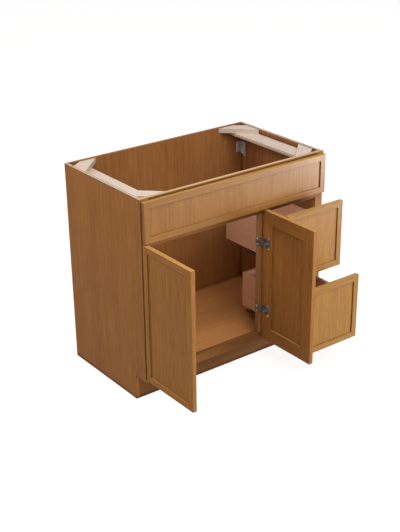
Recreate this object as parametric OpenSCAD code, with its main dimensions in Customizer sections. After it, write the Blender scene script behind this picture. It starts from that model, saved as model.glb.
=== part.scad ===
// Face-frame vanity base cabinet with two doors, two drawers and a fixed front under an open top.
// Millimetres. X runs along the width, the fronts face -Y and Z is up.
// The origin is on the floor, at the middle of the wall side of the back panel.

/* [Cabinet box] */
// Overall width across the face frame
cab_w = 914.4; // [860:0.1:1000]
// Depth from the front of the face frame to the wall side of the back panel
cab_d = 533.4; // [500:0.1:600]
// Height from the floor to the top edge, without a worktop
cab_h = 876.3; // [820:0.1:920]
// Thickness of the side, floor, back and toe boards
ply_t = 12.7; // [11:0.1:16]
// How deep the floor and back panels sit in their grooves in the sides
groove_d = 4; // [2:0.5:6]
// Height of the toe space under the face frame
toe_h = 109; // [90:1:125]
// How far the toe board stands back from the face frame
toe_back = 72; // [50:1:90]
// How far the floor panel's underside lies above the toe space
floor_lift = 3; // [0:0.5:8]

/* [Face frame] */
// Thickness of the face frame
frame_t = 19; // [17:0.5:22]
// Width of the left and right stiles
stile_w = 38.1; // [34:0.1:44]
// Height of every rail
rail_h = 38.1; // [34:0.1:44]
// Width of the post between the doors and the drawers
mullion_w = 63.5; // [56:0.1:76]
// Clear width of the drawer openings
drawer_opening_w = 240; // [225:1:246]

/* [Top supports] */
// Width of the two flat strips along the sides
strip_w = 76.2; // [50:0.1:90]
// Thickness of the strips
strip_t = 12.7; // [10:0.1:16]
// How far the strips' upper face lies under the top edge
strip_drop = 23; // [21:0.5:35]
// Length of a corner block along the front or back
block_leg = 127; // [90:1:150]
// Length of a corner block along the side
block_side_leg = 122; // [90:1:150]
// How much of a corner block is cut away along the front or back
block_cut = 50; // [20:1:70]
// How much of a corner block is cut away along the side
block_side_cut = 36; // [20:1:70]
// Thickness of the corner blocks
block_t = 20; // [12:0.5:21]

/* [Rear corner brackets] */
// Height of a bracket's flange on the side
bracket_h = 58; // [50:1:80]
// Height of a bracket's flange on the back panel
bracket_back_h = 48; // [40:1:50]
// Width of a bracket's flange on the back panel
bracket_back_w = 28; // [20:1:40]
// Width of a bracket's flange on the side
bracket_side_w = 35; // [24:1:45]
// Wall of the moulded brackets
bracket_wall = 2.5; // [1.5:0.5:4]
// Height of the ribs that stand on the flanges
bracket_rib = 9; // [5:0.5:12]
// How far the web between the flanges lies under the bracket's top
bracket_web_in = 12; // [5:1:30]
// Gap between the strips and the brackets
bracket_drop = 47; // [20:1:90]

/* [Doors and fronts] */
// Thickness of the doors and fronts
front_t = 19; // [18:0.5:22]
// Width of the raised rim that shows at the front
rim_w = 26; // [20:0.5:32]
// Width of the frame that shows at the back
back_frame_w = 57; // [50:0.5:70]
// Depth of the panel under the rim
recess = 5; // [3:0.5:5.5]
// Thickness of the panel
panel_t = 6; // [5:0.5:7]
// Bevel on the outer edges of the rims
edge_bevel = 1.2; // [0.5:0.1:2]
// Frame left showing at each side of the fronts
side_reveal = 4; // [3:0.5:8]
// Frame left showing over the fixed front
top_reveal = 8; // [4:0.5:14]
// Frame left showing under the doors and the lower drawer
low_reveal = 9; // [4:0.5:14]
// Height of the fixed front
fixed_front_h = 166; // [140:1:185]
// Gap between one front and the next above it
row_gap = 4; // [3:0.5:6]
// Gap between the two doors
pair_gap = 3; // [2:0.5:6]
// Gap between the right door and the drawers
bank_gap = 4.5; // [4.5:0.5:9]
// Width of the drawer fronts
drawer_front_w = 300; // [290:1:310]
// Thickness of the bumpers, which is also the gap behind a closed door
bumper_t = 3; // [2.5:0.1:4]
// Diameter of the bumpers
bumper_d = 7; // [5:0.5:8]
// Place of a bumper's centre from the edges of its door
bumper_in = 5; // [4.5:0.5:6]

/* [Pose at rest] */
// Angle at which the doors stand open
door_open = 90; // [0:1:90]
// How far the upper drawer is pulled out
upper_out = 108; // [0:1:350]
// How far the lower drawer is pulled out
lower_out = 221; // [0:1:350]

/* [Concealed hinges] */
// Distance of a hinge from the top or bottom of its door
hinge_in = 139; // [100:1:180]
// Diameter of the cup's bore in the door
cup_d = 35; // [34:0.5:36]
// Depth of the cup's bore
cup_depth = 12.6; // [12:0.1:12.8]
// Wood left between the bore and the door's edge
cup_edge = 4.5; // [4.2:0.1:5]
// Wall of the pressed cup
cup_wall = 0.6; // [0.5:0.1:0.8]
// Thickness of the flange on the door's inner face
flange_t = 1.5; // [1:0.1:1.5]
// Distance of the hinge pin from the door's edge
pin_in = 7.8; // [7.7:0.05:7.9]
// Depth of the hinge pin under the door's inner face
pin_depth = 9.4; // [9.2:0.1:9.6]
// Radius of the hinge pin
pin_r = 0.9; // [0.8:0.05:1]
// Running clearance round the hinge pin
pin_gap = 0.05; // [0.02:0.01:0.09]
// Outer radius of the arm's eye
eye_r = 1.9; // [1.6:0.05:1.95]
// Thickness of the arm and of its plate on the frame's edge
arm_t = 1.8; // [1.5:0.1:1.8]
// Width of the arm inside the cup
arm_w = 8; // [6:0.5:8]
// Width of the arm outside the cup
arm_strip_w = 14; // [9:0.5:14]
// Thickness of the plate that wraps over the frame's front
wrap_t = 1.2; // [0.8:0.1:1.2]
// Height of the arm's plate on the frame
plate_h = 36; // [28:1:44]

/* [Drawer boxes] */
// Length of a drawer box from front to back
box_len = 415; // [390:1:440]
// Height of a drawer box
box_h = 158; // [130:1:170]
// Thickness of the box sides
box_side_t = 12; // [11:0.5:14]
// Thickness of the box front and back
box_end_t = 12; // [12:0.5:15]
// Gap between a box and each side of its opening
box_side_gap = 8.3; // [8:0.1:10]
// Height of a box over the rail under it
box_lift = 30; // [20:1:40]
// Thickness of the box bottom
box_bottom_t = 6; // [5:0.5:7]
// Height of the box bottom's underside over the lower edge of the sides
box_bottom_up = 13; // [12.5:0.5:14]
// How deep the box bottom sits in its grooves
box_groove = 5; // [4:0.5:6]
// Distance from one dovetail to the next
tail_pitch = 25.4; // [22:0.1:30]
// Length of the dovetails
tail_len = 9; // [7:0.5:10]
// Width of a dovetail at its root
tail_root = 12; // [10:0.5:14]
// Slope of a dovetail's flanks
tail_slope = 0.2; // [0.12:0.01:0.25]

/* [Drawer slides] */
// How far a runner ends before the back of its drawer box
runner_short = 3; // [0:0.5:30]
// Length of the middle member
middle_len = 248; // [240:1:320]
// Length of the guide behind the face frame
guide_len = 138; // [120:1:180]
// How far the guide's base hangs under the box's lower edge
guide_drop = 15; // [12:0.5:20]
// Height of the guide's flange on the edge of the face frame
guide_flange_h = 13; // [10:0.5:13.5]
// How far the guide's flange reaches over the edge of the face frame
guide_reach = 17; // [10:0.5:18]
// Wall of the slide members
slide_wall = 1.5; // [1.2:0.1:1.6]
// Sliding clearance between the members
slide_gap = 0.4; // [0.3:0.05:0.5]
// Width of the member under the drawer box
slide_w = 20; // [18:0.5:22]
// Height of the tabs that hold the guides
slide_tab_h = 28; // [20:1:34]
// Width of the tabs that hold the guides to the back of the face frame
slide_tab_w = 20; // [16:1:24]

/* [Hidden] */
$fn = 48;
eps = 0.01;

// Heights and places in the cabinet, from its left front corner on the floor
floor_z = toe_h + floor_lift;
inner_back_y = cab_d - ply_t;
strip_z = cab_h - strip_drop - strip_t;
low_rail_top = toe_h + rail_h;
fixed_front_z = cab_h - top_reveal - fixed_front_h;
door_z = toe_h + low_reveal;
door_h = fixed_front_z - row_gap - door_z;
door_w = (cab_w - 2 * side_reveal - pair_gap - bank_gap - drawer_front_w) / 2;
mid_rail_z = fixed_front_z - row_gap / 2 - rail_h / 2;
mullion_x = cab_w - stile_w - drawer_opening_w - mullion_w;
opening_x = mullion_x + mullion_w;

// Place of the pair of doors
doors_mid_x = side_reveal + door_w + pair_gap / 2;
right_door_edge_x = 2 * doors_mid_x - side_reveal;
left_lap = stile_w - side_reveal;
right_lap = right_door_edge_x - mullion_x;

// Hinge cup and arm, from the hinged edge of a closed door
cup_r = cup_d / 2;
cup_in = cup_edge + cup_r;
cup_fit = 0.1;
cavity_r = cup_r - cup_fit - cup_wall;
hinge_y = -bumper_t - pin_depth;
arm_cup_gap = 1.3;
leg_max = cup_in + cavity_r - arm_cup_gap;
widen_at = pin_in + 12;
wide_arm_gap = 1.5;
flange_from_edge = 3;
pad_air = 0.3;
hinge_heights = [hinge_in, door_h - hinge_in];

// Drawer rows: 0 is the lower drawer and 1 the upper one
drawer_front_h = (door_h - row_gap) / 2;
drawer_front_x = cab_w - side_reveal - drawer_front_w;
drawer_rail_z = door_z + drawer_front_h + row_gap / 2 - rail_h / 2;
front_z = [door_z, door_z + drawer_front_h + row_gap];
box_z = [low_rail_top + box_lift, drawer_rail_z + rail_h + box_lift];
pulled_out = [lower_out, upper_out];
box_x = opening_x + box_side_gap;
box_w = drawer_opening_w - 2 * box_side_gap;
box_front_y = -bumper_t;
runner_len = box_len - box_end_t - runner_short;

// Dovetails: as many as fit the height at the set pitch
tail_count = floor(box_h / tail_pitch);
tail_start = (box_h - (tail_count - 1) * tail_pitch) / 2;

// Slide section, from the outer face and lower edge of a drawer box
runner_gap = 1;
runner_x = box_side_t + runner_gap;
runner_z = 4;
runner_mid = runner_x + slide_w / 2;
base_z = -guide_drop;
mid_half_w = slide_w / 2 - slide_wall - slide_gap;
mid_top = box_bottom_up - slide_wall - slide_gap;
rail_half_w = mid_half_w - slide_wall - slide_gap;
rail_top = mid_top - slide_wall - slide_gap;
flange_x = -box_side_gap;
clip_w = 11;
clip_len = 45;
notch_gap = 3;

wood = [0.66, 0.46, 0.26];
wood_inside = [0.55, 0.35, 0.19];
pale_ply = [0.87, 0.8, 0.72];
box_wood = [0.6, 0.42, 0.33];
steel = [0.45, 0.45, 0.48];
zinc = [0.42, 0.42, 0.46];
grey_plastic = [0.6, 0.58, 0.56];
clear_rubber = [0.85, 0.85, 0.82];

// Frames of reference

// The cabinet's own frame: left front corner of the face frame, on the floor
module in_cabinet() {
    translate([-cab_w / 2, -cab_d, 0])
        children();
}

// Draws its children again on the other side of the plane X = middle
module mirrored_at(middle) {
    translate([2 * middle, 0, 0])
        mirror([1, 0, 0])
            children();
}

// A door's frame: hinged edge at X = 0, outer face at Y = 0, lower edge at Z = 0
module on_left_door() {
    in_cabinet()
        translate([side_reveal + pin_in, hinge_y, door_z])
            rotate([0, 0, -door_open])
                translate([-pin_in, pin_depth - front_t, 0])
                    children();
}

module on_right_door() {
    in_cabinet()
        mirrored_at(doors_mid_x)
            translate([side_reveal + pin_in, hinge_y, door_z])
                rotate([0, 0, -door_open])
                    translate([-pin_in, pin_depth - front_t, 0])
                        children();
}

// A drawer front's frame: left edge, outer face and lower edge at 0
module on_drawer_front(row) {
    in_cabinet()
        translate([drawer_front_x, box_front_y - front_t - pulled_out[row], front_z[row]])
            children();
}

// A drawer box's frame: left outer face, front end and lower edge at 0
module on_drawer_box(row) {
    in_cabinet()
        translate([box_x, box_front_y - pulled_out[row], box_z[row]])
            children();
}

// Box between two corners
module block(low, high) {
    translate(low)
        cube(high - low);
}

// Outline in Y and Z, drawn out along X
module along_x(length) {
    rotate([90, 0, 90])
        linear_extrude(length)
            children();
}

// Cabinet box

module side_panel() {
    color(wood)
        difference() {
            along_x(ply_t)
                polygon([
                    [frame_t, toe_h],
                    [toe_back, toe_h],
                    [toe_back, 0],
                    [cab_d, 0],
                    [cab_d, cab_h],
                    [frame_t, cab_h]
                ]);
            block([ply_t - groove_d, frame_t - eps, floor_z], [ply_t + eps, inner_back_y, floor_z + ply_t]);
            block([ply_t - groove_d, inner_back_y, -eps], [ply_t + eps, cab_d + eps, cab_h + eps]);
        }
}

module side_left() {
    in_cabinet()
        side_panel();
}

module side_right() {
    in_cabinet()
        mirrored_at(cab_w / 2)
            side_panel();
}

module back_panel() {
    edge = ply_t - groove_d;
    color(wood_inside)
        in_cabinet()
            block([edge, inner_back_y, 0], [cab_w - edge, cab_d, cab_h]);
}

module floor_panel() {
    edge = ply_t - groove_d;
    color(wood)
        in_cabinet()
            block([edge, frame_t, floor_z], [cab_w - edge, inner_back_y, floor_z + ply_t]);
}

module toe_board() {
    color(wood)
        in_cabinet()
            block([ply_t, toe_back, 0], [cab_w - ply_t, toe_back + ply_t, floor_z]);
}

// Face frame

module frame_piece(low_x, low_z, high_x, high_z) {
    color(wood)
        in_cabinet()
            block([low_x, 0, low_z], [high_x, frame_t, high_z]);
}

module stile_left() {
    frame_piece(0, toe_h, stile_w, cab_h);
}

module stile_right() {
    frame_piece(cab_w - stile_w, toe_h, cab_w, cab_h);
}

module mullion() {
    frame_piece(mullion_x, low_rail_top, opening_x, mid_rail_z);
}

module top_rail() {
    frame_piece(stile_w, cab_h - rail_h, cab_w - stile_w, cab_h);
}

module middle_rail() {
    frame_piece(stile_w, mid_rail_z, cab_w - stile_w, mid_rail_z + rail_h);
}

module bottom_rail() {
    frame_piece(stile_w, toe_h, cab_w - stile_w, low_rail_top);
}

module drawer_rail() {
    frame_piece(opening_x, drawer_rail_z, cab_w - stile_w, drawer_rail_z + rail_h);
}

// Top strips, corner blocks and rear brackets

module top_strip() {
    color(pale_ply)
        block([ply_t, frame_t, strip_z], [ply_t + strip_w, inner_back_y, strip_z + strip_t]);
}

module top_strip_left() {
    in_cabinet()
        top_strip();
}

module top_strip_right() {
    in_cabinet()
        mirrored_at(cab_w / 2)
            top_strip();
}

// Right-angled block with its legs along +X and +Y and its square corner cut off
module corner_block() {
    color(pale_ply)
        translate([0, 0, strip_z + strip_t])
            linear_extrude(block_t)
                polygon([[block_cut, 0], [block_leg, 0], [0, block_side_leg], [0, block_side_cut]]);
}

module front_block() {
    translate([ply_t, frame_t, 0])
        corner_block();
}

module rear_block() {
    translate([ply_t, inner_back_y, 0])
        mirror([0, 1, 0])
            corner_block();
}

module corner_block_front_left() {
    in_cabinet()
        front_block();
}

module corner_block_front_right() {
    in_cabinet()
        mirrored_at(cab_w / 2)
            front_block();
}

module corner_block_rear_left() {
    in_cabinet()
        rear_block();
}

module corner_block_rear_right() {
    in_cabinet()
        mirrored_at(cab_w / 2)
            rear_block();
}

// Moulded angle in a rear corner: two flanges, edge ribs, a web across and a screw foot
module rear_bracket() {
    foot_r = bracket_side_w / 4;
    back_z = bracket_h - bracket_back_h;
    color(grey_plastic)
        translate([ply_t, inner_back_y, strip_z - bracket_drop - bracket_h]) {
            block([0, -bracket_wall, back_z], [bracket_back_w, 0, bracket_h]);
            block([0, -bracket_side_w, 0], [bracket_wall, 0, bracket_h]);
            block([bracket_back_w - bracket_wall, -bracket_rib, back_z], [bracket_back_w, 0, bracket_h]);
            block([0, -bracket_side_w, 0], [bracket_rib, bracket_wall - bracket_side_w, bracket_h]);
            translate([0, 0, bracket_h - bracket_web_in - bracket_wall])
                linear_extrude(bracket_wall)
                    polygon([[0, 0], [bracket_back_w, 0], [bracket_rib, -bracket_side_w], [0, -bracket_side_w]]);
            translate([0, foot_r - bracket_side_w, 0])
                rotate([0, 90, 0])
                    cylinder(r = foot_r, h = bracket_wall);
        }
}

module rear_corner_brackets() {
    in_cabinet() {
        rear_bracket();
        mirrored_at(cab_w / 2)
            rear_bracket();
    }
}

// Slim-rim fronts: stiles and rails with a rebate for the panel, lapped at the corners

// Whole front with bevelled outer edges
module front_blank(w, h) {
    b = edge_bevel;
    intersection() {
        linear_extrude(h)
            polygon([[b, 0], [w - b, 0], [w, b], [w, front_t], [0, front_t], [0, b]]);
        along_x(w)
            polygon([[0, b], [b, 0], [front_t, 0], [front_t, h], [b, h], [0, h - b]]);
    }
}

module front_stile(w, h) {
    seat = recess + panel_t;
    color(wood)
        intersection() {
            front_blank(w, h);
            linear_extrude(h)
                polygon([
                    [0, 0],
                    [rim_w, 0],
                    [rim_w, seat],
                    [back_frame_w, seat],
                    [back_frame_w, front_t],
                    [0, front_t]
                ]);
        }
}

module front_rail(w, h) {
    seat = recess + panel_t;
    color(wood)
        intersection() {
            front_blank(w, h);
            union() {
                block([rim_w, 0, 0], [w - rim_w, seat, rim_w]);
                translate([back_frame_w, 0, 0])
                    along_x(w - 2 * back_frame_w)
                        polygon([
                            [0, 0],
                            [front_t, 0],
                            [front_t, back_frame_w],
                            [seat, back_frame_w],
                            [seat, rim_w],
                            [0, rim_w]
                        ]);
            }
        }
}

module front_panel(w, h) {
    color(wood)
        block([rim_w, recess, rim_w], [w - rim_w, recess + panel_t, h - rim_w]);
}

module front_stile_pair(w, h) {
    front_stile(w, h);
    mirrored_at(w / 2)
        front_stile(w, h);
}

module front_rail_pair(w, h) {
    front_rail(w, h);
    translate([0, 0, h])
        mirror([0, 0, 1])
            front_rail(w, h);
}

// Fixed front under the top

fixed_front_w = cab_w - 2 * side_reveal;

module on_fixed_front() {
    in_cabinet()
        translate([side_reveal, -front_t, fixed_front_z])
            children();
}

module fixed_front_stiles() {
    on_fixed_front()
        front_stile_pair(fixed_front_w, fixed_front_h);
}

module fixed_front_rails() {
    on_fixed_front()
        front_rail_pair(fixed_front_w, fixed_front_h);
}

module fixed_front_panel() {
    on_fixed_front()
        front_panel(fixed_front_w, fixed_front_h);
}

// Doors

// The cup bores of one door, open at its inner face
module cup_bores() {
    for (z = hinge_heights)
        translate([cup_in, front_t + eps, z])
            rotate([90, 0, 0])
                cylinder(r = cup_r, h = cup_depth + eps);
}

module door_hinge_stile() {
    color(wood)
        difference() {
            front_stile(door_w, door_h);
            cup_bores();
        }
}

module door_free_stile() {
    mirrored_at(door_w / 2)
        front_stile(door_w, door_h);
}

module door_panel() {
    color(wood)
        difference() {
            front_panel(door_w, door_h);
            cup_bores();
        }
}

// Soft pads on the inner face, at the free corners
module door_bumpers() {
    color(clear_rubber)
        for (z = [bumper_in, door_h - bumper_in])
            translate([door_w - rim_w, front_t, z])
                rotate([-90, 0, 0])
                    cylinder(d = bumper_d, h = bumper_t - pad_air);
}

module door_left_hinge_stile() {
    on_left_door()
        door_hinge_stile();
}

module door_left_free_stile() {
    on_left_door()
        door_free_stile();
}

module door_left_rails() {
    on_left_door()
        front_rail_pair(door_w, door_h);
}

module door_left_panel() {
    on_left_door()
        door_panel();
}

module door_left_hinge_cups() {
    on_left_door()
        hinge_cups();
}

module door_left_bumpers() {
    on_left_door()
        door_bumpers();
}

module door_right_hinge_stile() {
    on_right_door()
        door_hinge_stile();
}

module door_right_free_stile() {
    on_right_door()
        door_free_stile();
}

module door_right_rails() {
    on_right_door()
        front_rail_pair(door_w, door_h);
}

module door_right_panel() {
    on_right_door()
        door_panel();
}

module door_right_hinge_cups() {
    on_right_door()
        hinge_cups();
}

module door_right_bumpers() {
    on_right_door()
        door_bumpers();
}

// Concealed hinges: a cup with a fixed pin in the door, and a bent arm with an eye on the frame

// Cup with its flange, its two lugs and the pin between them. The pin runs along Z.
module hinge_cup() {
    pin_x = pin_in - cup_in;
    lug_half = 2.4;
    lug_low = arm_w / 2 + 0.3;
    lug_high = 8.6;
    ear_x = 16;
    ear_z = 22.5;
    ear_r = 6.5;
    outer_r = cup_r - cup_fit;
    floor_y = cup_fit - cup_depth;
    color(zinc) {
        difference() {
            rotate([-90, 0, 0])
                union() {
                    translate([0, 0, floor_y])
                        cylinder(r = outer_r, h = -floor_y);
                    cylinder(r = cup_in - flange_from_edge, h = flange_t);
                    translate([ear_x - ear_r, -ear_z, 0])
                        cube([2 * ear_r, 2 * ear_z, flange_t]);
                    for (side = [-1, 1])
                        translate([ear_x, side * ear_z, 0])
                            cylinder(r = ear_r, h = flange_t);
                }
            translate([0, floor_y + cup_wall, 0])
                rotate([-90, 0, 0])
                    cylinder(r = cavity_r, h = cup_depth + flange_t);
        }
        intersection() {
            for (side = [-1, 1])
                translate([pin_x - lug_half, floor_y, side * (lug_low + lug_high) / 2 - (lug_high - lug_low) / 2])
                    cube([2 * lug_half, lug_half - floor_y - pin_depth, lug_high - lug_low]);
            translate([0, floor_y, 0])
                rotate([-90, 0, 0])
                    cylinder(r = outer_r, h = -floor_y);
        }
        translate([pin_x, -pin_depth, -lug_high])
            cylinder(r = pin_r, h = 2 * lug_high);
    }
}

module hinge_cups() {
    for (z = hinge_heights)
        translate([cup_in, front_t, z])
            hinge_cup();
}

// Arm on the frame, from the hinged edge of the closed door. lap is how far the door covers the frame.
// It is narrow between the lugs and widens past them, as far as the cup's wall leaves room.
module hinge_arm(lap) {
    leg_out = min(lap + arm_t, leg_max);
    leg_in = leg_out - arm_t;
    plate_out = lap + arm_t;
    room = sqrt(pow(cavity_r, 2) - pow(leg_out - cup_in, 2)) - wide_arm_gap;
    strip_half = min(arm_strip_w / 2, room);
    color(zinc) {
        difference() {
            union() {
                translate([0, 0, -arm_w / 2])
                    linear_extrude(arm_w)
                        polygon([
                            [pin_in, hinge_y - arm_t],
                            [leg_out, hinge_y - arm_t],
                            [leg_out, 0],
                            [leg_in, 0],
                            [leg_in, hinge_y],
                            [pin_in, hinge_y]
                        ]);
                translate([pin_in, hinge_y, -arm_w / 2])
                    cylinder(r = eye_r, h = arm_w);
            }
            translate([pin_in, hinge_y, -arm_w])
                cylinder(r = pin_r + pin_gap, h = 2 * arm_w);
        }
        block([widen_at, hinge_y - arm_t, -strip_half], [leg_out, hinge_y, strip_half]);
        block([leg_in, hinge_y - arm_t, -strip_half], [leg_out, 0, strip_half]);
        block([lap, -wrap_t, -plate_h / 2], [plate_out, frame_t, plate_h / 2]);
        block([leg_in, -wrap_t, -plate_h / 2], [plate_out, 0, plate_h / 2]);
    }
}

module hinge_arm_pair(lap) {
    for (z = hinge_heights)
        translate([side_reveal, 0, door_z + z])
            hinge_arm(lap);
}

module hinge_arms_left() {
    in_cabinet()
        hinge_arm_pair(left_lap);
}

module hinge_arms_right() {
    in_cabinet()
        mirrored_at(doors_mid_x)
            hinge_arm_pair(right_lap);
}

// Drawer fronts

module drawer_front_stiles(row) {
    on_drawer_front(row)
        front_stile_pair(drawer_front_w, drawer_front_h);
}

module drawer_front_rails(row) {
    on_drawer_front(row)
        front_rail_pair(drawer_front_w, drawer_front_h);
}

module drawer_front_panel(row) {
    on_drawer_front(row)
        front_panel(drawer_front_w, drawer_front_h);
}

// Soft pads on the back of the drawer front, over the post and the right stile
module drawer_bumpers(row) {
    over_post = bumper_in + bumper_d / 2;
    color(clear_rubber)
        on_drawer_front(row)
            for (x = [over_post, drawer_front_w - over_post])
                translate([x, front_t, drawer_front_h - over_post])
                    rotate([-90, 0, 0])
                        cylinder(d = bumper_d, h = bumper_t - pad_air);
}

// Drawer boxes with half-blind dovetails. A box's frame starts at its left front lower corner.

// The dovetails at one end of a side, seen from that side. They point to -Y from Y = 0.
module dovetails(thickness) {
    root = tail_root / 2;
    tip = root + tail_len * tail_slope;
    for (i = [0:tail_count - 1])
        translate([0, 0, tail_start + i * tail_pitch])
            along_x(thickness)
                polygon([[0, -root], [0, root], [-tail_len, tip], [-tail_len, -tip]]);
}

module tails_at_both_ends(thickness) {
    translate([0, box_end_t, 0])
        dovetails(thickness);
    translate([0, box_len - box_end_t, 0])
        mirror([0, 1, 0])
            dovetails(thickness);
}

module bottom_sheet() {
    x = box_side_t - box_groove;
    y = box_end_t - box_groove;
    block([x, y, box_bottom_up], [box_w - x, box_len - y, box_bottom_up + box_bottom_t]);
}

module box_side() {
    color(box_wood)
        difference() {
            union() {
                block([0, box_end_t, 0], [box_side_t, box_len - box_end_t, box_h]);
                tails_at_both_ends(box_side_t);
            }
            bottom_sheet();
        }
}

// Front or back board. It is socketed for the tails of both sides and grooved for the bottom.
module box_end(front_face) {
    color(box_wood)
        difference() {
            block([0, front_face, 0], [box_w, front_face + box_end_t, box_h]);
            tails_at_both_ends(box_side_t);
            mirrored_at(box_w / 2)
                tails_at_both_ends(box_side_t);
            bottom_sheet();
        }
}

module box_front() {
    box_end(0);
}

// The back board is notched over both slides
module box_back() {
    notch_w = slide_w + clip_w + notch_gap;
    inner_y = box_len - box_end_t;
    difference() {
        box_end(inner_y);
        both_sides_of_box()
            block([box_side_t, inner_y - eps, -eps], [box_side_t + notch_w, box_len + eps, box_bottom_up]);
    }
}

module box_bottom() {
    color(box_wood)
        bottom_sheet();
}

// Under-mounted slides. Each profile is drawn for the left side of a box and mirrored for the right.

module both_sides_of_box() {
    children();
    mirrored_at(box_w / 2)
        children();
}

// Channel that opens downwards, between two heights
module slide_channel(half_w, low, top, from_y, length) {
    translate([runner_mid, from_y, 0])
        difference() {
            block([-half_w, 0, low], [half_w, length, top]);
            block([slide_wall - half_w, -eps, low - eps], [half_w - slide_wall, length + eps, top - slide_wall]);
        }
}

// Member under the box, with the latch that holds the box at the front
module box_runner() {
    clip_x = runner_x + slide_w;
    color(steel)
        slide_channel(slide_w / 2, runner_z, box_bottom_up, box_end_t, runner_len);
    color(grey_plastic)
        block([clip_x, box_end_t, runner_z], [clip_x + clip_w, box_end_t + clip_len, box_bottom_up]);
}

module runners(row) {
    on_drawer_box(row)
        both_sides_of_box()
            box_runner();
}

// Middle member, which travels half as far as its drawer
module slide_middle(row) {
    color(steel)
        in_cabinet()
            translate([box_x, -pulled_out[row] / 2, box_z[row]])
                both_sides_of_box()
                    slide_channel(mid_half_w, base_z + slide_wall + slide_gap, mid_top, frame_t, middle_len);
}

// Guide on the face frame: a base plate with the inner rail, a flange on the frame's edge and a tab behind it
module slide_guide() {
    plate_end = runner_x + slide_w;
    from_y = frame_t - guide_reach;
    till_y = frame_t + guide_len;
    color(steel) {
        block([flange_x, from_y, base_z], [plate_end, till_y, base_z + slide_wall]);
        block([flange_x, from_y, base_z], [flange_x + slide_wall, till_y, base_z + guide_flange_h]);
        slide_channel(rail_half_w, base_z, rail_top, frame_t, guide_len);
        block([flange_x - slide_tab_w, frame_t, base_z], [flange_x + slide_wall, frame_t + slide_wall, base_z + slide_tab_h]);
    }
}

module slide_guides() {
    in_cabinet()
        for (row = [0, 1])
            translate([box_x, 0, box_z[row]])
                both_sides_of_box()
                    slide_guide();
}

side_left();
side_right();
back_panel();
floor_panel();
toe_board();
stile_left();
stile_right();
mullion();
top_rail();
middle_rail();
bottom_rail();
drawer_rail();
top_strip_left();
top_strip_right();
corner_block_front_left();
corner_block_front_right();
corner_block_rear_left();
corner_block_rear_right();
rear_corner_brackets();
fixed_front_stiles();
fixed_front_rails();
fixed_front_panel();
hinge_arms_left();
hinge_arms_right();
slide_guides();
door_left_hinge_stile();
door_left_free_stile();
door_left_rails();
door_left_panel();
door_left_hinge_cups();
door_left_bumpers();
door_right_hinge_stile();
door_right_free_stile();
door_right_rails();
door_right_panel();
door_right_hinge_cups();
door_right_bumpers();
drawer_front_stiles(1);  // upper_front_stiles
drawer_front_rails(1);  // upper_front_rails
drawer_front_panel(1);  // upper_front_panel
on_drawer_box(1) box_front();  // upper_box_front
on_drawer_box(1) box_back();  // upper_box_back
on_drawer_box(1) box_side();  // upper_box_side_left
on_drawer_box(1) mirrored_at(box_w / 2) box_side();  // upper_box_side_right
on_drawer_box(1) box_bottom();  // upper_box_bottom
runners(1);  // upper_runners
drawer_bumpers(1);  // upper_bumpers
slide_middle(1);  // upper_slide_middle
drawer_front_stiles(0);  // lower_front_stiles
drawer_front_rails(0);  // lower_front_rails
drawer_front_panel(0);  // lower_front_panel
on_drawer_box(0) box_front();  // lower_box_front
on_drawer_box(0) box_back();  // lower_box_back
on_drawer_box(0) box_side();  // lower_box_side_left
on_drawer_box(0) mirrored_at(box_w / 2) box_side();  // lower_box_side_right
on_drawer_box(0) box_bottom();  // lower_box_bottom
runners(0);  // lower_runners
drawer_bumpers(0);  // lower_bumpers
slide_middle(0);  // lower_slide_middle
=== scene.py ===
import math

import bmesh
import bpy
from mathutils import Matrix, Vector

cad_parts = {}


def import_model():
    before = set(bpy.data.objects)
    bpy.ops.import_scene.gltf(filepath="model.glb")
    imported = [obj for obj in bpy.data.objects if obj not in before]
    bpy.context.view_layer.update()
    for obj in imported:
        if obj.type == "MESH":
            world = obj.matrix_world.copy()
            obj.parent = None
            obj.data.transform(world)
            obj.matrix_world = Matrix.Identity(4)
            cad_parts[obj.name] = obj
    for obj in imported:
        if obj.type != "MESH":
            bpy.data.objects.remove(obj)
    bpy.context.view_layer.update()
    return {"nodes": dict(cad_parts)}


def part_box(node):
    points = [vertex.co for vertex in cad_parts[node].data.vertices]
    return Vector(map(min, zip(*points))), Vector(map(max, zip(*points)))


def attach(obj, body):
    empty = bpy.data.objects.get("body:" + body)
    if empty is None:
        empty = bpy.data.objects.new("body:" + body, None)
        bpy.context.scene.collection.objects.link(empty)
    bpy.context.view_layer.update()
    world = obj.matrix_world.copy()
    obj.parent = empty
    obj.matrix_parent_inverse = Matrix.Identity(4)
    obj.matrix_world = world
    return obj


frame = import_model()
nodes = frame["nodes"]

# The cabinet's left front corner on the floor and the top of its frame, in metres in the row frame
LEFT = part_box("stile_left")[0].x
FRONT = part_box("stile_left")[0].y
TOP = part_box("stile_left")[1].z


# Colours

def linear(red, green, blue):
    """A colour given as it looks on a screen, 0 to 255, as linear light."""
    def one(value):
        value = value / 255
        return value / 12.92 if value <= 0.04045 else ((value + 0.055) / 1.055) ** 2.4
    return (one(red), one(green), one(blue), 1.0)


def scaled(colour, factors):
    """A colour with its red, green and blue each times a factor, and none above 1."""
    return tuple(min(1.0, factor * part) for factor, part in zip(factors, colour)) + (1.0,)


# Node helpers

TOP_SLACK = 0.0004      # what lies this close under the cabinet's top, in metres, is its top edge
FACING = 0.8            # from this share of its normal along an axis, a face counts as turned that way


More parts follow.
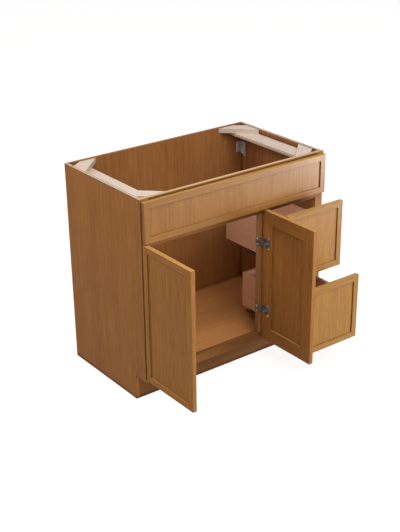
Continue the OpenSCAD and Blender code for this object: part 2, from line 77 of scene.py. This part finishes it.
class Graph:
    """A material's node tree, with short calls for the nodes used here."""

    def __init__(self, name):
        self.material = bpy.data.materials.new(name)
        self.material.use_nodes = True
        self.tree = self.material.node_tree
        self.shader = next(n for n in self.tree.nodes if n.type == "BSDF_PRINCIPLED")

    def node(self, kind, inputs=None, **settings):
        made = self.tree.nodes.new(kind)
        for key, value in settings.items():
            setattr(made, key, value)
        for key, value in (inputs or {}).items():
            self.put(made.inputs[key], value)
        return made

    def put(self, socket, value):
        if isinstance(value, bpy.types.NodeSocket):
            self.tree.links.new(value, socket)
        else:
            socket.default_value = value

    def coords(self, scale, offset=(0, 0, 0)):
        source = self.node("ShaderNodeTexCoord").outputs["Object"]
        made = self.node("ShaderNodeMapping", {"Vector": source, "Scale": scale, "Location": offset})
        return made.outputs["Vector"]

    def noise(self, vector, detail=2.0, roughness=0.5, distortion=0.0):
        made = self.node("ShaderNodeTexNoise", {
            "Vector": vector, "Scale": 1.0, "Detail": detail, "Roughness": roughness,
            "Distortion": distortion})
        return made.outputs["Fac"]

    def remap(self, value, low, high, to_low=0.0, to_high=1.0):
        made = self.node("ShaderNodeMapRange", {
            "Value": value, "From Min": low, "From Max": high, "To Min": to_low, "To Max": to_high})
        return made.outputs["Result"]

    def math(self, operation, first, second=0.0):
        made = self.node("ShaderNodeMath", operation=operation)
        self.put(made.inputs[0], first)
        self.put(made.inputs[1], second)
        return made.outputs["Value"]

    def mix(self, factor, first, second, blend="MIX"):
        made = self.node("ShaderNodeMix", data_type="RGBA", blend_type=blend)
        self.put(made.inputs["Factor"], factor)
        self.put(made.inputs["A"], first)
        self.put(made.inputs["B"], second)
        return made.outputs["Result"]

    def axis(self, name):
        """A point's place along an axis of its object, in metres."""
        source = self.node("ShaderNodeTexCoord").outputs["Object"]
        return self.node("ShaderNodeSeparateXYZ", {"Vector": source}).outputs[name]

    def normal(self, name):
        """How far a face's normal points along an axis, -1 to 1."""
        source = self.node("ShaderNodeNewGeometry").outputs["Normal"]
        return self.node("ShaderNodeSeparateXYZ", {"Vector": source}).outputs[name]

    def facing(self, axis, sign):
        """1 on faces turned along an axis, to its plus side for 1 and to its minus side for -1."""
        return self.math("GREATER_THAN", self.math("MULTIPLY", self.normal(axis), sign), FACING)

    def top_edge(self):
        """1 at the very top of the cabinet."""
        return self.math("GREATER_THAN", self.axis("Z"), TOP - TOP_SLACK)

    def cut_edge(self, side):
        """1 on a board's cut edges. A side board shows them only at the top, where its plies are bare."""
        if side == "X":
            return self.top_edge()
        return self.math("LESS_THAN", self.math("ABSOLUTE", self.normal(side)), 0.5)

    def edges(self, radius):
        """1 along sharp edges and 0 on flat faces, with the rounded normal."""
        rounded = self.node("ShaderNodeBevel", {"Radius": radius}, samples=4).outputs["Normal"]
        true = self.node("ShaderNodeNewGeometry").outputs["Normal"]
        product = self.node("ShaderNodeVectorMath", operation="DOT_PRODUCT")
        self.put(product.inputs[0], rounded)
        self.put(product.inputs[1], true)
        return self.remap(product.outputs["Value"], 0.995, 0.85), rounded

    def corner(self, reach):
        """1 deep in an inside corner and 0 in the open, found by ambient occlusion; it places the painted
        corner shade.
        """
        made = self.node("ShaderNodeAmbientOcclusion", {"Distance": reach}, samples=8)
        return self.remap(made.outputs["AO"], 0.88, 0.55)

    def bump(self, strength, distance, height, normal):
        made = self.node("ShaderNodeBump", {
            "Strength": strength, "Distance": distance, "Height": height, "Normal": normal})
        return made.outputs["Normal"]

    def finish(self, colour, roughness, normal, more):
        """Joins the channels to the shader. more holds the shader's plain values."""
        self.put(self.shader.inputs["Base Color"], colour)
        self.put(self.shader.inputs["Roughness"], roughness)
        self.put(self.shader.inputs["Normal"], normal)
        for key, value in more.items():
            self.shader.inputs[key].default_value = value
        return self.material


# Wood

# Each layer of grain: how many features a metre it has across the grain and along it
DRIFT = (9.0, 0.8)
BANDS = (95.0, 4.0)
LINES = (300.0, 14.0)
PORES = (900.0, 40.0)

# Factors that make a shade of a stain: its pores, its worn edges, which also carry a painted highlight, and
# the grain in bare wood
PORE_SHADE = (0.42, 0.42, 0.42)
WORN_AND_LIT_SHADE = (1.5, 1.45, 1.2)
BARE_SHADE = (0.75, 0.75, 0.75)

RAW = linear(226, 188, 140)             # bare wood on the frame's top edge
TOP_HIGHLIGHT_GOLD = linear(232, 190, 112)            # painted highlight: the lighter tone on edges turned up, as if lit from above
CORNER_SHADE = (0.36, 0.25, 0.13, 1.0)         # painted shade: multiplies the colour in an inside corner
PLY_PALE = linear(218, 200, 184)
PLY_DARK = linear(176, 146, 118)
PLY_PORES = linear(160, 128, 98)

# Metres
WOOD_EDGE = 0.0014                      # radius of a board's softened edges
CORNER_SHADE_REACH = 0.03                      # how far the painted corner shade reaches out of a corner
PLY = 0.0042                            # thickness of one ply
LAP = 0.005                             # the top edge is bare from this far behind the frame's front
LAP_BLUR = 0.001

GLOSS = 0.07                            # how much the wood itself reflects, under its coat
COAT_ROUGHNESS = 0.26
SEED_STEP = (1.37, 2.11, 0.73)          # how far one seed moves the grain on each axis


def stretched(along, layer):
    """A layer's scale on the three axes, with its second value along the grain."""
    across, lengthwise = layer
    return tuple(lengthwise if axis == along else across for axis in "XYZ")


def wood(name, light, dark, along, seed, streak=0.5, rough=0.5, coat=0.0, wear=0.6, glaze=0.85,
         ply_side=None, plies=1.0, bare_top=False, top_highlight=0.0, inner=None):
    """Straight-grained wood.

    along is the grain's axis, and seed moves the grain, so that boards differ. streak, wear and
    glaze say how strong the dark grain, the worn edges with their painted highlight and the painted shade
    in inside corners are. ply_side is the axis through a board whose cut edges show plies, and plies their
    strength. top_highlight is the share of gold painted on faces turned up, as painted light from above.
    inner gives the side, 1 or -1 along X, that has another tone, and that tone's name; some such tones
    paint in shade.
    """
    g = Graph(name)
    shift = tuple(seed * step for step in SEED_STEP)

    def grain(layer, detail=3.0, roughness=0.6, distortion=0.0):
        return g.noise(g.coords(stretched(along, layer), shift), detail, roughness, distortion)

    drift = grain(DRIFT, roughness=0.55)
    bands = grain(BANDS, distortion=0.25)
    lines = grain(LINES, distortion=0.1)
    pores = grain(PORES, detail=2.0)
    # Noise stays near 0.5, so its middle part is spread from 0 to 1
    amount = g.math("MULTIPLY", g.remap(drift, 0.3, 0.7), 0.3)
    amount = g.math("ADD", amount, g.math("MULTIPLY", g.remap(bands, 0.33, 0.68), streak))
    amount = g.math("ADD", amount, g.math("MULTIPLY", g.remap(lines, 0.34, 0.66), 0.8 * streak))
    colour = g.mix(amount, light, dark)
    colour = g.mix(g.remap(pores, 0.62, 0.74, 0.0, 0.6), colour, scaled(dark, PORE_SHADE))
    edge, rounded = g.edges(WOOD_EDGE)
    # Edges are lightened: partly wear, partly a painted highlight where the rounded edges would catch light
    colour = g.mix(g.math("MULTIPLY", edge, wear), colour, scaled(light, WORN_AND_LIT_SHADE))
    # Painted light: faces turned up are made golden, as if lit from above
    if top_highlight:
        colour = g.mix(g.math("MULTIPLY", g.facing("Z", 1), top_highlight), colour, TOP_HIGHLIGHT_GOLD)
    # Faces turned one way along X take another tone: the inside wall of a side board, and painted shade on
    # the fixed front stiles' left-facing faces
    if inner:
        toward, stain_and_shade = inner
        colour = g.mix(g.facing("X", toward), colour, g.mix(amount, *STAINS_AND_SHADES[stain_and_shade]))
    if bare_top:
        behind = g.remap(g.axis("Y"), FRONT + LAP - LAP_BLUR, FRONT + LAP + LAP_BLUR)
        bare = g.math("MULTIPLY", g.top_edge(), behind)
        colour = g.mix(bare, colour, g.mix(amount, RAW, scaled(RAW, BARE_SHADE)))
    # Painted shade: the colour is darkened in inside corners and recesses, where ambient occlusion finds
    # them
    if glaze:
        glazed = g.mix(1.0, colour, CORNER_SHADE, "MULTIPLY")
        colour = g.mix(g.math("MULTIPLY", g.corner(CORNER_SHADE_REACH), glaze), colour, glazed)
    roughness = g.remap(lines, 0.3, 0.7, rough - 0.05, rough + 0.09)
    if ply_side:
        cut = g.cut_edge(ply_side)
        depth = g.math("MULTIPLY", g.axis(ply_side), 1 / PLY)
        between = g.remap(g.math("PINGPONG", depth, 1.0), 0.35, 0.65, 0.0, plies)
        ply = g.mix(between, PLY_PALE, PLY_DARK)
        ply = g.mix(g.remap(pores, 0.55, 0.75, 0.0, 0.4), ply, PLY_PORES)
        colour = g.mix(cut, colour, ply)
        roughness = g.math("ADD", roughness, g.math("MULTIPLY", cut, 0.25))
    sunk = g.math("MULTIPLY", g.remap(pores, 0.6, 0.75), -0.7)
    height = g.math("ADD", g.math("MULTIPLY", lines, 0.5), sunk)
    return g.finish(colour, roughness, g.bump(0.25, 0.0004, height, rounded), {
        "Specular IOR Level": GLOSS, "Coat Weight": coat, "Coat Roughness": COAT_ROUGHNESS})


# Each tone: its light tone and its dark tone, as they look on a screen. Most are stains; the flank, low
# rail and toe tones are darker copies that paint in shade, and the box tone is pale wood lightened partly
# as painted light against the shade inside the cabinet
STAINS_AND_SHADES = {
    "front": (linear(164, 115, 52), linear(136, 88, 35)),
    "drawer": (linear(173, 125, 56), linear(143, 96, 38)),
    # painted shade: a darker copy of the front tone, for the left-facing faces of the fixed front's stiles
    "shaded_flank": (linear(151, 94, 33), linear(125, 72, 23)),
    "door": (linear(176, 122, 65), linear(146, 93, 44)),
    "side": (linear(173, 116, 60), linear(142, 88, 42)),
    "frame": (linear(169, 117, 67), linear(139, 90, 47)),
    # painted shade: a darker copy of the frame tone, for the low bottom rail
    "shaded_low_rail": (linear(150, 101, 56), linear(122, 77, 39)),
    "post": (linear(177, 125, 80), linear(145, 97, 58)),
    "inside": (linear(184, 127, 72), linear(151, 98, 54)),
    "wall": (linear(163, 112, 68), linear(133, 86, 49)),
    "floor": (linear(217, 155, 92), linear(184, 124, 71)),
    # painted shade: the toe board's tone, darkened for the shade under the cabinet
    "toe": (linear(134, 92, 52), linear(109, 71, 37)),
    # pale drawer-box wood, partly lightened as painted light against the shade inside the cabinet
    "box": (linear(236, 183, 153), linear(207, 154, 124)),
    "pale": (linear(232, 215, 200), linear(205, 183, 165)),
}


def dress(node, material):
    data = nodes[node].data
    data.materials.clear()
    data.materials.append(material)


def dress_wood(stain_and_shade, along, names, **more):
    """Gives each named piece its own wood in a named tone from the table of stains and painted shades, with
    the grain along an axis.
    """
    light, dark = STAINS_AND_SHADES[stain_and_shade]
    for name in names:
        # A number that follows from the name gives each piece its own stretch of grain
        seed = 1 + sum((i + 3) * ord(letter) for i, letter in enumerate(name)) % 89
        dress(name, wood("wood_" + name, light, dark, along, seed, **more))


# Finishes, with their painted shade in corners and painted light on faces turned up: values that several
# pieces share
LACQUER_AND_SHADE = {"coat": 0.36, "rough": 0.42, "glaze": 0.45}
LACQUER_SHADE_AND_TOP_LIGHT = {**LACQUER_AND_SHADE, "top_highlight": 0.4}
DOOR = {"glaze": 0.16, "top_highlight": 0.4}
BOX = {"streak": 0.4, "glaze": 0.3}
PALE = {"ply_side": "Z", "rough": 0.6, "streak": 0.4, "glaze": 0}

dress_wood("side", "Z", ["side_left"], ply_side="X", wear=0.15, inner=(1, "wall"))
dress_wood("side", "Z", ["side_right"], ply_side="X", wear=0.15, inner=(-1, "wall"))
dress_wood("inside", "Z", ["back_panel"], wear=0.0, glaze=0.4)
dress_wood("floor", "X", ["floor_panel"], streak=0.28, glaze=0.5)
# Painted shade: the toe board takes a darkened tone
dress_wood("toe", "X", ["toe_board"])
dress_wood("frame", "Z", ["stile_left", "stile_right"], bare_top=True, glaze=0.2)
dress_wood("post", "Z", ["mullion"], glaze=0.1)
dress_wood("frame", "X", ["top_rail"], bare_top=True, glaze=1.0)
dress_wood("frame", "X", ["middle_rail", "drawer_rail"], glaze=0.5)
# Painted shade: the bottom rail takes a darker copy of the frame tone
dress_wood("shaded_low_rail", "X", ["bottom_rail"], glaze=0.5)
dress_wood("pale", "Y", ["top_strip_left", "top_strip_right"], **PALE)
for end in ("front", "rear"):
    dress_wood("pale", "X", ["corner_block_%s_%s" % (end, side) for side in ("left", "right")],
               plies=0.4, **PALE)
# The stiles' left-facing faces take the darker tone as painted shade
dress_wood("front", "Z", ["fixed_front_stiles"], inner=(-1, "shaded_flank"), **LACQUER_SHADE_AND_TOP_LIGHT)
dress_wood("front", "Z", ["fixed_front_panel"], **LACQUER_AND_SHADE)
dress_wood("front", "X", ["fixed_front_rails"], **LACQUER_SHADE_AND_TOP_LIGHT)
for side in ("left", "right"):
    upright = ["door_%s_%s" % (side, part) for part in ("hinge_stile", "free_stile", "panel")]
    dress_wood("door", "Z", upright, **DOOR)
    dress_wood("door", "Y", ["door_%s_rails" % side], **DOOR)
for row in ("upper", "lower"):
    dress_wood("drawer", "Z", [row + "_front_stiles", row + "_front_panel"], **LACQUER_SHADE_AND_TOP_LIGHT)
    dress_wood("drawer", "X", [row + "_front_rails"], **LACQUER_SHADE_AND_TOP_LIGHT)
    dress_wood("box", "X", [row + "_box_front", row + "_box_back"], **BOX)
    dress_wood("box", "Y", [row + "_box_side_left", row + "_box_side_right", row + "_box_bottom"], **BOX)


# Metal, plastic and rubber

# Features a metre
CRYSTALS = 320
SMUDGES = 40
CLOUDS = 60
SPECKLES = 1500

STEEL_EDGE = 0.0004                     # radius of softened edges, in metres
PLASTIC_EDGE = 0.0005
BRIGHT_ZINC = linear(205, 206, 212)     # where edges are rubbed
DARK_CRYSTAL = (0.7, 0.7, 0.7)
RUBBED_SHADE = (1.3, 1.3, 1.3)


def zinc(name, tone, rough):
    """Zinc-plated steel, with faint crystals, smudges and rubbed edges."""
    g = Graph(name)
    cells = g.node("ShaderNodeTexVoronoi", {"Vector": g.coords((CRYSTALS,) * 3), "Scale": 1.0})
    grey = g.node("ShaderNodeSeparateColor", {"Color": cells.outputs["Color"]}).outputs[0]
    smudge = g.noise(g.coords((SMUDGES,) * 3), 4.0, 0.6)
    edge, rounded = g.edges(STEEL_EDGE)
    colour = g.mix(g.remap(grey, 0.0, 1.0, 0.0, 0.35), tone, scaled(tone, DARK_CRYSTAL))
    colour = g.mix(g.math("MULTIPLY", edge, 0.5), colour, BRIGHT_ZINC)
    roughness = g.remap(smudge, 0.3, 0.7, rough - 0.06, rough + 0.12)
    return g.finish(colour, roughness, g.bump(0.1, 0.0002, smudge, rounded), {"Metallic": 0.8})


def plastic(name, light, dark, rough, see_through=0.0):
    """Moulded plastic or rubber, clouded between two tones, with a fine skin."""
    g = Graph(name)
    cloud = g.noise(g.coords((CLOUDS,) * 3), 4.0, 0.6)
    skin = g.noise(g.coords((SPECKLES,) * 3), 2.0, 0.5)
    edge, rounded = g.edges(PLASTIC_EDGE)
    colour = g.mix(g.remap(cloud, 0.3, 0.7), light, dark)
    colour = g.mix(g.math("MULTIPLY", edge, 0.4), colour, scaled(light, RUBBED_SHADE))
    roughness = g.remap(cloud, 0.3, 0.7, rough - 0.05, rough + 0.08)
    return g.finish(colour, roughness, g.bump(0.15, 0.0002, skin, rounded), {
        "Transmission Weight": see_through})


HINGE_STEEL = zinc("hinge_steel", linear(150, 149, 152), 0.3)
# Painted shade: the slides' steel is darkened and browned so that it sits in the shade under the drawer
# boxes
SHADED_SLIDE_STEEL = zinc("shaded_slide_steel", linear(94, 83, 74), 0.5)
SCREW_STEEL = zinc("screw_steel", linear(210, 211, 216), 0.24)
BRACKET_PLASTIC = plastic("bracket_plastic", linear(196, 190, 184), linear(178, 171, 164), 0.5)
PAD_RUBBER = plastic("pad_rubber", linear(176, 136, 92), linear(160, 120, 78), 0.35, 0.5)

for name in ("hinge_arms_left", "hinge_arms_right", "door_left_hinge_cups", "door_right_hinge_cups"):
    dress(name, HINGE_STEEL)
for name in ("slide_guides", "upper_runners", "lower_runners", "upper_slide_middle", "lower_slide_middle"):
    dress(name, SHADED_SLIDE_STEEL)
dress("rear_corner_brackets", BRACKET_PLASTIC)
for name in ("door_left_bumpers", "door_right_bumpers", "upper_bumpers", "lower_bumpers"):
    dress(name, PAD_RUBBER)


# Screws

SCREW_RADIUS = 0.0036
SCREW_HEIGHT = 0.0016
SCREW_SIDES = 28
# The domed head's rings, as shares of its radius and height
DOME = ((1, 0), (1, 0.3), (0.9, 0.66), (0.74, 0.88), (0.58, 1))
# The cross recess at its mouth and at its floor: reach and half width as shares of the radius, then height
MOUTH = (0.46, 0.11, 1)
DEPTH = (0.34, 0.07, 0.35)


def in_row(x, y, z):
    """A point given in millimetres from the cabinet's left front corner on the floor."""
    return Vector((LEFT + x / 1000, FRONT + y / 1000, z / 1000))


def add_screw(bm, place, axis):
    """A domed head with a cross recess. place is under the head, and axis points out of the wood."""
    turn = Vector(axis).to_track_quat("Z", "Y").to_matrix().to_4x4()
    turn.translation = place

    def ring(r, z):
        return [bm.verts.new(turn @ Vector((r * math.cos(a), r * math.sin(a), z)))
                for a in (2 * math.pi * i / SCREW_SIDES for i in range(SCREW_SIDES))]

    def cross(reach, half, height):
        reach, half, z = reach * SCREW_RADIUS, half * SCREW_RADIUS, height * SCREW_HEIGHT
        outline = []
        for quarter in range(4):
            a = quarter * math.pi / 2
            for x, y in ((reach, -half), (reach, half), (half, half)):
                outline.append(bm.verts.new(turn @ Vector((
                    x * math.cos(a) - y * math.sin(a), x * math.sin(a) + y * math.cos(a), z))))
        return outline

    def pairs(loop):
        return zip(loop, loop[1:] + loop[:1])

    def join(low, high):
        for (a, b), (c, d) in zip(pairs(low), pairs(high)):
            bm.faces.new((a, b, d, c))

    rings = [ring(SCREW_RADIUS * r, SCREW_HEIGHT * z) for r, z in DOME]
    bm.faces.new(rings[0])
    for low, high in zip(rings, rings[1:]):
        join(low, high)
    mouth = cross(*MOUTH)
    depth = cross(*DEPTH)
    join(mouth, depth)
    bm.faces.new(depth)
    rim = [bm.edges.get(pair) or bm.edges.new(pair) for loop in (rings[-1], mouth) for pair in pairs(loop)]
    bmesh.ops.triangle_fill(bm, edges=rim, use_beauty=True)


def screws(name, body, places, axis):
    """One piece with a screw at each place, riding a body."""
    bm = bmesh.new()
    for place in places:
        add_screw(bm, place, axis)
    bmesh.ops.recalc_face_normals(bm, faces=bm.faces)
    mesh = bpy.data.meshes.new(name)
    bm.to_mesh(mesh)
    bm.free()
    mesh.materials.append(SCREW_STEEL)
    made = bpy.data.objects.new(name, mesh)
    bpy.context.scene.collection.objects.link(made)
    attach(made, body)


# Millimetres, with places taken from the cabinet's left front corner on the floor
HINGE_HEIGHTS = (257.0, 559.3)
EAR_THICKNESS = 1.5                     # the cup's ears, which its two screws hold to the door
EAR_SPREAD = 22.5                       # from the cup's middle to its screws
CUP_LINE = -42.6                        # how far in front of the frame the cups' middles are
PLATE_SPREAD = 12                       # from a hinge's middle to its plate's screws
PLATE_LINE = 9.5                        # how far behind the frame's front these screws are
BRACKET_LINE = 494.45                   # how far behind the frame's front the brackets' screws are
BRACKET_HEIGHT = 735.6

# Each side's face under the screws, and the way it looks along X: the door as it stands open, the hinge
# plate on the frame, and the bracket's foot
for side, face, out in (("left", 21.2, 1), ("right", 588.7, -1)):
    ears = [in_row(face + EAR_THICKNESS * out, CUP_LINE, z + up)
            for z in HINGE_HEIGHTS for up in (-EAR_SPREAD, EAR_SPREAD)]
    screws("cup_screws_" + side, "door_" + side, ears, (out, 0, 0))
for side, face, out in (("left", 39.9, 1), ("right", 571.0, -1)):
    plate = [in_row(face, PLATE_LINE, z + up)
             for z in HINGE_HEIGHTS for up in (-PLATE_SPREAD, PLATE_SPREAD)]
    screws("arm_screws_" + side, "cabinet", plate, (out, 0, 0))
for side, face, out in (("left", 15.2, 1), ("right", 899.2, -1)):
    screws("bracket_screw_" + side, "cabinet", [in_row(face, BRACKET_LINE, BRACKET_HEIGHT)], (out, 0, 0))


# Camera at the photograph's angle

PHOTO_WIDTH, PHOTO_HEIGHT = 400, 532    # pixels
SENSOR = 36.0


def camera():
    yaw, pitch, roll = 0.6522, -0.4349, -0.0082             # radians
    focal, centre_u, centre_v = 1063.98, 208.13, 275.65     # focal length and optical centre, in pixels
    forward = Vector((math.sin(yaw) * math.cos(pitch), math.cos(yaw) * math.cos(pitch), math.sin(pitch)))
    level = Vector((math.cos(yaw), -math.sin(yaw), 0))
    above = level.cross(forward)
    right = level * math.cos(roll) + above * math.sin(roll)
    up = above * math.cos(roll) - level * math.sin(roll)
    place = Vector((LEFT - 2.0045, FRONT - 3.0328, 2.2568))
    data = bpy.data.cameras.new("camera")
    data.sensor_fit = "AUTO"
    data.sensor_width = SENSOR
    data.lens = SENSOR * focal / PHOTO_HEIGHT
    data.shift_x = (PHOTO_WIDTH / 2 - centre_u) / PHOTO_HEIGHT
    data.shift_y = (centre_v - PHOTO_HEIGHT / 2) / PHOTO_HEIGHT
    data.clip_end = 60
    made = bpy.data.objects.new("camera", data)
    made.matrix_world = Matrix((
        (right.x, up.x, -forward.x, place.x),
        (right.y, up.y, -forward.y, place.y),
        (right.z, up.z, -forward.z, place.z),
        (0, 0, 0, 1)))
    bpy.context.scene.collection.objects.link(made)
    bpy.context.scene.camera = made


camera()


# Floor, world and lamps

FLOOR_REACH = 14.0                      # metres to each side
FLOOR_TONE = (0.36, 0.355, 0.35, 1)
FLOOR_GLOW = 0.86                       # makes the floor white where it is seen, while its shadow stays
WORLD_LIGHT = 0.35                      # on the part. The shown background has strength 1


def shown(tree):
    """1 on rays that show the background: straight from the camera, in a reflection, or through glass."""
    rays = tree.nodes.new("ShaderNodeLightPath")
    total = rays.outputs["Is Camera Ray"]
    for kind in ("Is Glossy Ray", "Is Transmission Ray"):
        most = tree.nodes.new("ShaderNodeMath")
        most.operation = "MAXIMUM"
        tree.links.new(total, most.inputs[0])
        tree.links.new(rays.outputs[kind], most.inputs[1])
        total = most.outputs[0]
    return total


def floor():
    mesh = bpy.data.meshes.new("floor")
    corners = [(x * FLOOR_REACH, y * FLOOR_REACH, 0) for x, y in ((-1, -1), (1, -1), (1, 1), (-1, 1))]
    mesh.from_pydata(corners, [], [(0, 1, 2, 3)])
    made = bpy.data.objects.new("floor", mesh)
    bpy.context.scene.collection.objects.link(made)
    material = bpy.data.materials.new("floor_white")
    material.use_nodes = True
    tree = material.node_tree
    tree.nodes.clear()
    out = tree.nodes.new("ShaderNodeOutputMaterial")
    diffuse = tree.nodes.new("ShaderNodeBsdfDiffuse")
    diffuse.inputs["Color"].default_value = FLOOR_TONE
    glow = tree.nodes.new("ShaderNodeEmission")
    seen = tree.nodes.new("ShaderNodeMath")
    seen.operation = "MULTIPLY"
    seen.inputs[1].default_value = FLOOR_GLOW
    tree.links.new(shown(tree), seen.inputs[0])
    tree.links.new(seen.outputs[0], glow.inputs["Strength"])
    both = tree.nodes.new("ShaderNodeAddShader")
    tree.links.new(diffuse.outputs[0], both.inputs[0])
    tree.links.new(glow.outputs[0], both.inputs[1])
    tree.links.new(both.outputs[0], out.inputs["Surface"])
    mesh.materials.append(material)


def world():
    made = bpy.data.worlds.new("studio")
    bpy.context.scene.world = made
    made.use_nodes = True
    tree = made.node_tree
    tree.nodes.clear()
    out = tree.nodes.new("ShaderNodeOutputWorld")
    light = tree.nodes.new("ShaderNodeBackground")
    light.inputs["Color"].default_value = (1.0, 1.0, 1.0, 1)
    light.inputs["Strength"].default_value = WORLD_LIGHT
    seen = tree.nodes.new("ShaderNodeBackground")
    seen.inputs["Strength"].default_value = 1.0
    both = tree.nodes.new("ShaderNodeMixShader")
    tree.links.new(shown(tree), both.inputs[0])
    tree.links.new(light.outputs[0], both.inputs[1])
    tree.links.new(seen.outputs[0], both.inputs[2])
    tree.links.new(both.outputs[0], out.inputs["Surface"])


def lamp(name, place, target, width, height, power, sheen_only=False):
    """A soft lamp at a place, turned to a target. With sheen_only it lights only what shines."""
    data = bpy.data.lights.new(name, "AREA")
    data.shape = "RECTANGLE"
    data.size = width
    data.size_y = height
    data.energy = power
    made = bpy.data.objects.new(name, data)
    made.location = place
    made.rotation_euler = (Vector(target) - Vector(place)).to_track_quat("-Z", "Y").to_euler()
    made.visible_camera = False
    made.visible_diffuse = not sheen_only
    bpy.context.scene.collection.objects.link(made)


floor()
world()
# Place, target, width and height in metres, then power in watts
lamp("low", (2.3, -3.3, 0.45), (0.1, -0.5, 0.7), 1.6, 0.76, 90)
lamp("sheen", (2.3, -1.95, 0.25), (0.35, -0.55, 0.8), 1.0, 0.5, 42, sheen_only=True)
lamp("key", (0.1, -2.1, 3.4), (0, -0.4, 0.5), 1.4, 1.4, 42)
lamp("side", (-1.3, -2.9, 2.9), (0, -0.4, 0.5), 1.4, 1.4, 19)
lamp("fill", (-2.4, -1.0, 2.6), (0, -0.3, 0.5), 1.6, 1.6, 18)
lamp("back", (-2.2, 1.8, 2.6), (0, -0.3, 0.5), 1.6, 1.6, 38)

bpy.context.scene.view_settings.view_transform = "Standard"
